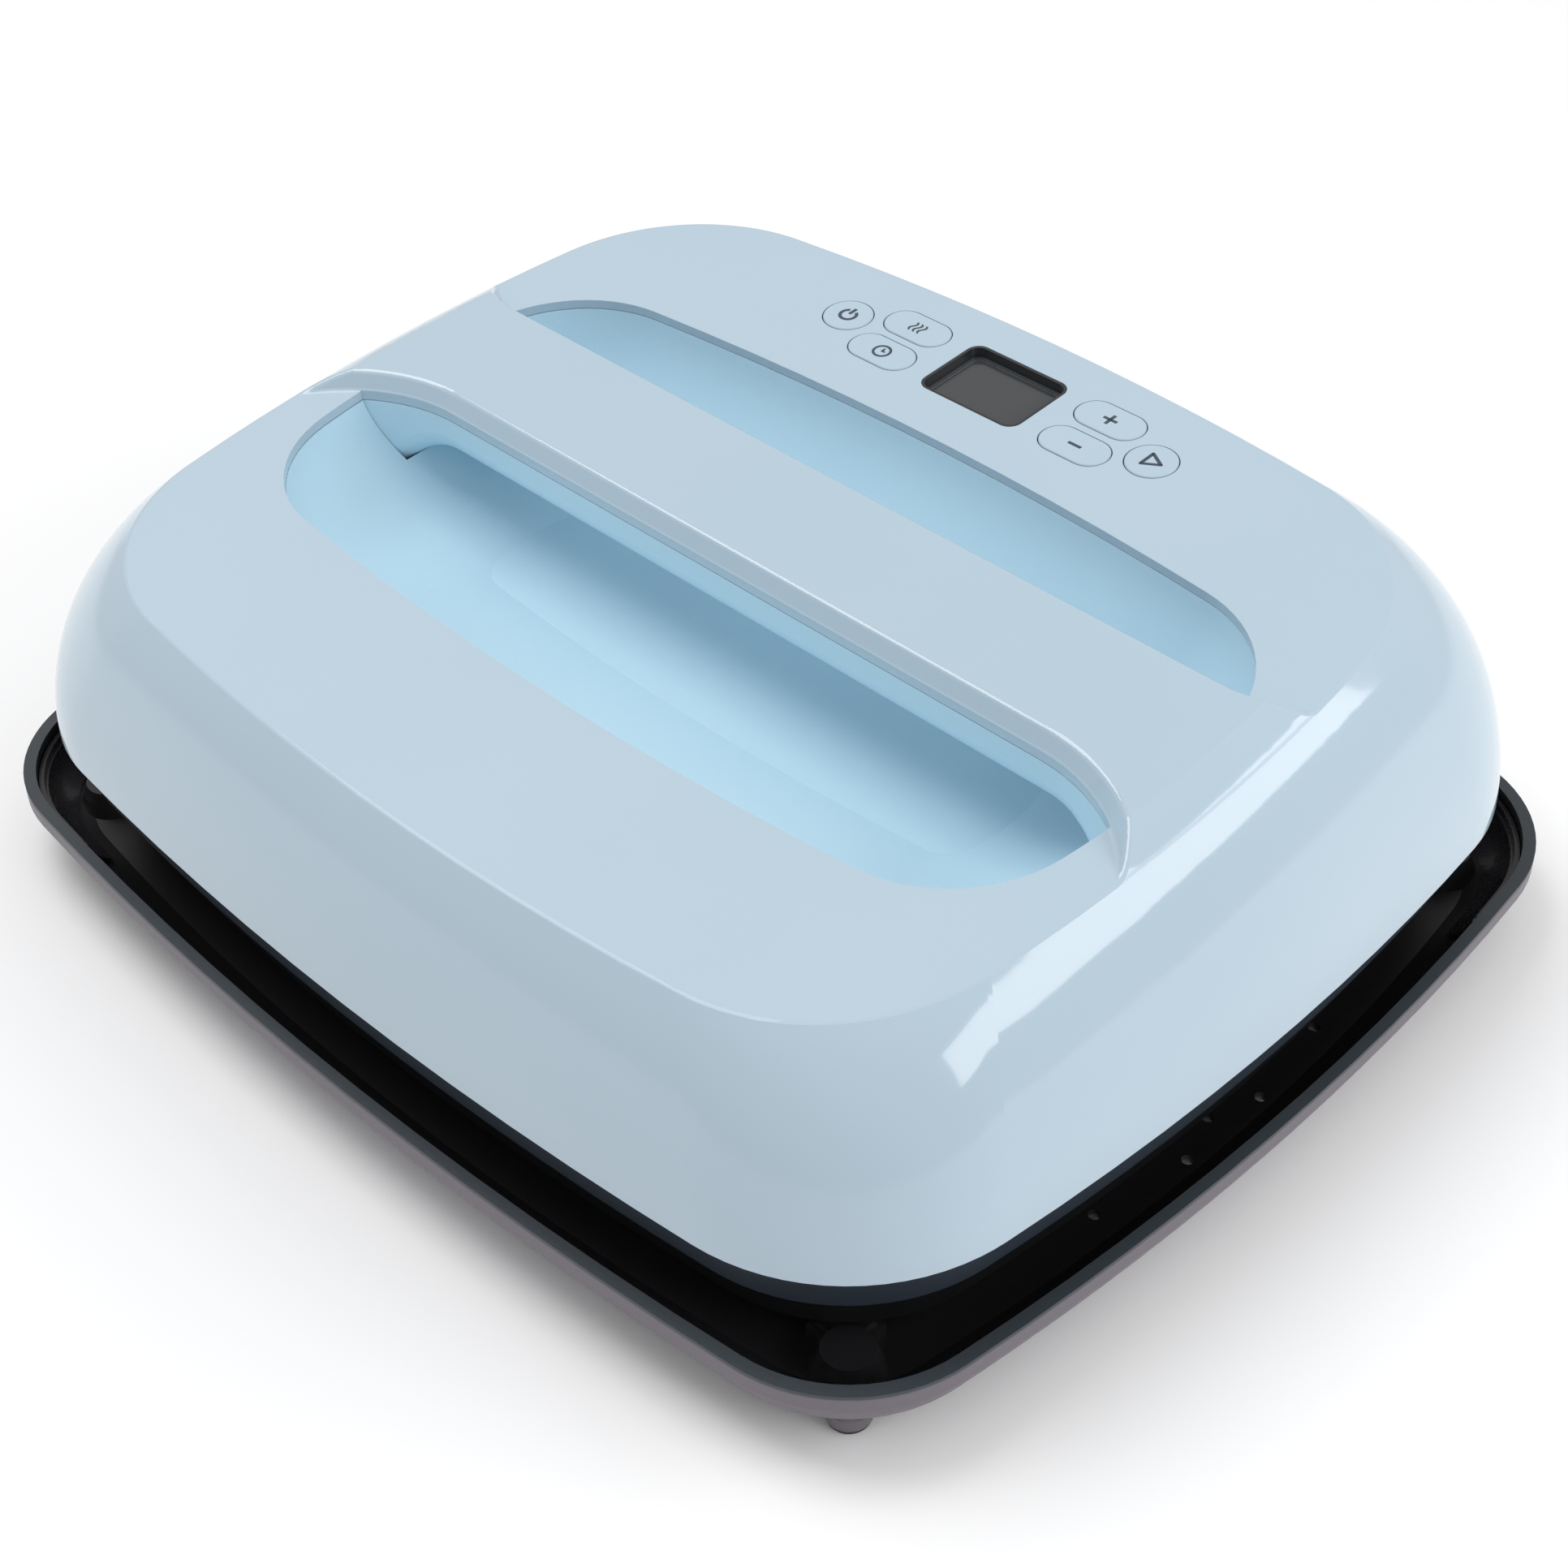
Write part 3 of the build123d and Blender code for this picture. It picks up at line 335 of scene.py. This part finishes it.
# Glazed steatite is cream, with a soft shine.
wear(surface("steatite_glazed", "#E6E0D2", "#DCD5C4", 0.2, 0.35, 1.0, 0.02, 8.0),
     "ceramic_standoffs", "plate_sensor")
# Turned and plated steel is brighter than the sheet and finer in its marks.
wear(surface("steel_turned_zinc_plated", "#BFC1C4", "#A9ACB0", 0.22, 0.36, 0.3, 0.008, 6.0, metallic=1.0),
     "handle_screws", "board_screws", "clamp_screws", "standoff_screws", "chassis_screws",
     "power_screws", "thermal_fuses", "heater_tabs", "bush_nut")

# ---- skirt and collar ----
# The dark skirt closes the housing from below and takes its screws. The collar inside it holds the
# plate's edge off the plastic.
# Glass-filled nylon is blue-grey with a satin sheen from its fibres.
wear(surface("nylon_moulded_blue_grey", "#262D36", "#2C343E", 0.28, 0.42, 0.8, 0.03), "chassis_frame")
# Phenolic is black and a little duller, and stands the heat of the plate.
wear(surface("phenolic_moulded_black", "#0F1012", "#141517", 0.4, 0.55, 1.0, 0.03), "plate_surround")

# ---- electronics ----
# A power board on the skirt's flange and a control board under the deck, joined by sleeved wire.
# They are soldered, screwed down, and seen only when the covers are off.
# Green solder lacquer over glass-epoxy: smooth, with the weave just showing.
wear(surface("epoxy_green_lacquer", "#14502A", "#104423", 0.2, 0.32, 0.6, 0.01),
     "control_board", "power_board")
# Moulded epoxy cases are charcoal, with the fine spark-eroded texture of their moulds.
wear(surface("epoxy_moulded_black", "#17181A", "#1E1F22", 0.35, 0.5, 0.5, 0.02, 8.0),
     "tactile_switches", "buzzer", "relay", "triac", "smoothing_capacitor")
# Yellow polyester tape is wound tight and shines.
wear(surface("polyester_tape_yellow", "#C9A23A", "#B9932F", 0.25, 0.4, 0.8, 0.02, 10.0), "transformer")
wear(surface("nylon_moulded_green", "#1F6E3C", "#1A6135", 0.35, 0.5, 0.6, 0.02, 8.0), "terminal_block")
wear(surface("glass_tube_clear_grey", "#C9CFD2", "#BCC3C7", 0.05, 0.12, 1.0, 0.004, 6.0), "mains_fuse")
wear(surface("glass_lcd_cell_dark", "#25282B", "#202326", 0.1, 0.18, 1.0, 0.004, 12.0), "display_module")
# Red silicone sleeving is dull and slightly sticky, so it holds dust.
wear(surface("silicone_sleeve_red", "#A31B16", "#8E1612", 0.5, 0.62, 0.7, 0.03, 10.0),
     "heater_leads", "panel_harness")

# ---- pocket and grip ----
# The scoop and the underside of the handle, clipped and screwed in from below. They are ABS moulded
# in a stronger sky blue, with a satin skin that a hand can hold without slipping. Their blue is also painted
# paler than the deck's: painted light that brightens the shaded scoop and the underside of the handle.
wear(surface("abs_satin_sky_blue_painted_fill", "#C6E3F0", "#C0DEED", 0.30, 0.42, 0.7, 0.02, 50.0),
     "pocket_liner", "handle_underside")

# ---- upper housing ----
# The top cover, with the handle's upper half in one piece: injection-moulded light blue ABS. The
# mould was polished for the sides, which shine like glass, and spark-eroded for the flat deck.
tilt = math.radians(4.1)
deck_origin = Vector((0.0, 0.0, 0.1028))
deck_along = Vector((0.0, math.cos(tilt), math.sin(tilt)))
deck_up = Vector((0.0, -math.sin(tilt), math.cos(tilt)))
deck_blue, deck_blue_pale = "#AFC3D1", "#B4C7D4"


def on_deck(tree, place):
    """1 on the flat deck and 0 elsewhere, from the height over the deck's plane."""
    over = add(tree, "ShaderNodeVectorMath", [(0, place)], operation="SUBTRACT")
    over.inputs[1].default_value = deck_origin
    height = add(tree, "ShaderNodeVectorMath", [(0, over.outputs["Vector"])], operation="DOT_PRODUCT")
    height.inputs[1].default_value = deck_up
    size = add(tree, "ShaderNodeMath", [(0, height.outputs["Value"])], operation="ABSOLUTE")
    mask = add(tree, "ShaderNodeMapRange", [("Value", size.outputs["Value"])],
               From_Min=0.0001, From_Max=0.0004, To_Min=1.0, To_Max=0.0)
    return mask.outputs["Result"]


def housing_finish():
    """ABS, polished and slowly rippled on the sides, with a fine matt grain on the deck."""
    made, tree, shader = material("abs_polished_light_blue", deck_blue, 0.1, coat=0.35, coat_roughness=0.04)
    place = add(tree, "ShaderNodeTexCoord").outputs["Object"]
    deck = on_deck(tree, place)
    patch = add(tree, "ShaderNodeTexNoise", [("Vector", place)], Scale=14.0, Detail=3.0)
    grain = add(tree, "ShaderNodeTexNoise", [("Vector", place)], Scale=1000 / 0.6, Detail=2.0)
    ripple = add(tree, "ShaderNodeTexNoise", [("Vector", place)], Scale=1000 / 25.0, Detail=1.0)
    tint = add(tree, "ShaderNodeMix", [("Factor", patch.outputs["Fac"])],
               data_type="RGBA", A=linear(deck_blue), B=linear(deck_blue_pale))
    shine = add(tree, "ShaderNodeMapRange", [("Value", patch.outputs["Fac"])], To_Min=0.07, To_Max=0.13)
    matt = add(tree, "ShaderNodeMapRange", [("Value", grain.outputs["Fac"])], To_Min=0.42, To_Max=0.56)
    gloss = add(tree, "ShaderNodeMix",
                [("Factor", deck), (2, shine.outputs["Result"]), (3, matt.outputs["Result"])])
    relief = add(tree, "ShaderNodeMix",
                 [("Factor", deck), (2, ripple.outputs["Fac"]), (3, grain.outputs["Fac"])])
    drive(tree, shader, tint.outputs["Result"], gloss.outputs[0], relief.outputs[0], 0.03, 0.35)
    return made


wear(housing_finish(), "upper_housing")

# ---- keys ----
# Six sprung push keys that stand a hair over the deck, moulded in its ABS and grained like it. Each
# symbol is pad-printed in slate ink, which leaves a film a few hundredths of a millimetre thick.
key_blue = surface("abs_grained_light_blue", deck_blue, deck_blue_pale, 0.42, 0.56, 0.6, 0.02, 50.0, coat=0.1)
slate_ink = surface("pad_print_slate_ink", "#3A4955", "#34424E", 0.35, 0.5, 0.5, 0.01, 10.0)
ink_sink, ink_proud = 0.03, 0.05
stroke = 0.95
upright = math.pi / 2
wear(key_blue, "power_key", "temperature_key", "timer_key", "plus_key", "minus_key", "start_key",
     "key_guide")


def flat_bar(length, width, x=0.0, y=0.0, turn=0.0, cuts=1):
    """A flat strip in millimetres, its length along X before it is turned."""
    begin()
    bpy.ops.mesh.primitive_grid_add(x_subdivisions=cuts, y_subdivisions=1, size=1.0)
    strip = bpy.context.object
    strip.scale = (length, width, 1.0)
    bpy.ops.object.transform_apply(location=False, rotation=False, scale=True)
    strip.location = (x, y, 0.0)
    strip.rotation_euler = (0.0, 0.0, turn)
    bpy.ops.object.transform_apply(location=True, rotation=True, scale=False)
    return strip


def hollow(plate, width, soften=0.0, segments=6):
    """Rounds the corners of a flat plate and leaves only a frame of it, in millimetres."""
    bpy.ops.object.mode_set(mode="EDIT")
    bpy.ops.mesh.select_all(action="SELECT")
    if soften:
        bpy.ops.mesh.bevel(offset=soften, segments=segments, affect="VERTICES")
        bpy.ops.mesh.select_all(action="SELECT")
    bpy.ops.mesh.inset(thickness=width)
    bpy.ops.mesh.delete(type="FACE")
    bpy.ops.object.mode_set(mode="OBJECT")
    return plate


def flat_ring(radius, width, corners=48, soften=0.0, turn=0.0):
    """A flat outline of a circle or a rounded polygon, in millimetres."""
    begin()
    bpy.ops.mesh.primitive_circle_add(vertices=corners, radius=radius, fill_type="NGON")
    ring = bpy.context.object
    ring.rotation_euler = (0.0, 0.0, turn)
    bpy.ops.object.transform_apply(location=False, rotation=True, scale=False)
    return hollow(ring, width, soften)


def top_face(node):
    """The middle of a node's top face: across and along the deck, and its height over it."""
    points = [vertex.co - deck_origin for vertex in nodes[node].data.vertices]
    top = max(point.dot(deck_up) for point in points)
    face = [point for point in points if point.dot(deck_up) > top - 0.00005]
    across = [point.x for point in face]
    along = [point.dot(deck_along) for point in face]
    return (min(across) + max(across)) / 2, (min(along) + max(along)) / 2, top


def lay_on(node, name, parts, sink, proud, finish):
    """Joins flat parts, thickens them and lays them on a node's top face, in millimetres."""
    begin()
    for part in parts:
        part.select_set(True)
    piece = parts[0]
    bpy.context.view_layer.objects.active = piece
    if len(parts) > 1:
        bpy.ops.object.join()
    bpy.ops.object.mode_set(mode="EDIT")
    bpy.ops.mesh.select_all(action="SELECT")
    bpy.ops.mesh.extrude_region_move(TRANSFORM_OT_translate={"value": (0.0, 0.0, sink + proud)})
    bpy.ops.mesh.select_all(action="SELECT")
    bpy.ops.mesh.normals_make_consistent(inside=False)
    bpy.ops.object.mode_set(mode="OBJECT")
    piece.name = name
    across, along, top = top_face(node)
    place = deck_origin + Vector((across, 0.0, 0.0)) + deck_along * along + deck_up * (top - sink / 1000)
    piece.matrix_world = Matrix.Translation(place) @ Matrix.Rotation(tilt, 4, "X") @ Matrix.Scale(0.001, 4)
    bpy.ops.object.transform_apply(location=True, rotation=True, scale=True)
    piece.data.materials.clear()
    piece.data.materials.append(finish)
    return piece


def in_gap(face):
    """True for the faces of a ring that lie in the gap at its top."""
    middle = face.calc_center_median()
    return abs(middle.x) < 1.05 and middle.y > 0


# Power: a ring with a gap, and a bar through the gap.
power_ring = flat_ring(2.8, stroke)
bpy.ops.object.mode_set(mode="EDIT")
pick_faces(power_ring, in_gap)
bpy.ops.mesh.delete(type="FACE")
bpy.ops.object.mode_set(mode="OBJECT")
power = [power_ring, flat_bar(3.0, stroke, 0.0, 1.9, upright)]

# Heat: three rising waves, each bent from a strip cut into 16.
wave_length, wave_width, wave_bend, wave_pitch = 4.2, 0.66, 0.5, 1.6
waves = []
for step in (-1, 0, 1):
    wave = flat_bar(wave_length, wave_width, cuts=16)
    for vertex in wave.data.vertices:
        bend = wave_bend * math.sin(vertex.co.x / wave_length * 2 * math.pi)
        vertex.co = (vertex.co.y + bend + wave_pitch * step, vertex.co.x, 0.0)
    waves.append(wave)

# Time: a dial with two hands.
clock = [flat_ring(2.8, 0.75), flat_bar(1.6, 0.6, 0.0, 0.5, upright), flat_bar(0.9, 0.6, 0.6, 0.0)]
plus = [flat_bar(4.4, stroke), flat_bar(4.4, stroke, 0.0, 0.0, upright)]
minus = [flat_bar(4.2, stroke)]
# Start: a rounded triangle that points to the right.
start = [flat_ring(4.0, stroke, 3, 0.9, -upright)]

symbols = (
    ("power_symbol", "power_key", power),
    ("heat_symbol", "temperature_key", waves),
    ("clock_symbol", "timer_key", clock),
    ("plus_symbol", "plus_key", plus),
    ("minus_symbol", "minus_key", minus),
    ("start_symbol", "start_key", start),
)
for name, key, parts in symbols:
    symbol = lay_on(key, name, parts, ink_sink, ink_proud, slate_ink)
    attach(symbol, key + "_body")

# ---- display ----
# A smoked acrylic window set below the deck in a dark liner, with a liquid crystal cell bonded
# behind it. The cell's plated rim shows as two thin pale lines just inside the edge.
# Acrylic is dark grey with a shallow gloss, faintly hazed by wiping.
wear(surface("acrylic_smoked", "#3C3F42", "#36393C", 0.12, 0.2, 1.0, 0.004, 25.0, coat=0.3), "display_lens")
wear(surface("abs_satin_dark_grey", "#2B2D30", "#242629", 0.25, 0.35, 0.8, 0.02),
     "panel_frame", "display_backlight")
# Tin plate is bright, cool grey and lightly brushed.
tin_plate = surface("tin_plate_bright", "#B9BDC1", "#9BA0A5", 0.25, 0.4, 0.6, 0.01, 8.0, metallic=1.0)
rim_sink = 0.05
rim_lines = (
    # name, half width, half depth, corner, line width, height over the glass (all in millimetres)
    ("cell_rim", 14.6, 10.1, 2.0, 0.22, 0.06),
    ("cell_step", 15.4, 10.9, 2.6, 0.16, 0.04),
)
for name, half_x, half_y, corner, width, proud in rim_lines:
    begin()
    bpy.ops.mesh.primitive_plane_add(size=2.0)
    line = bpy.context.object
    line.scale = (half_x, half_y, 1.0)
    bpy.ops.object.transform_apply(location=False, rotation=False, scale=True)
    line = lay_on("display_lens", name, [hollow(line, width, corner, 8)], rim_sink, proud, tin_plate)
    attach(line, "press")
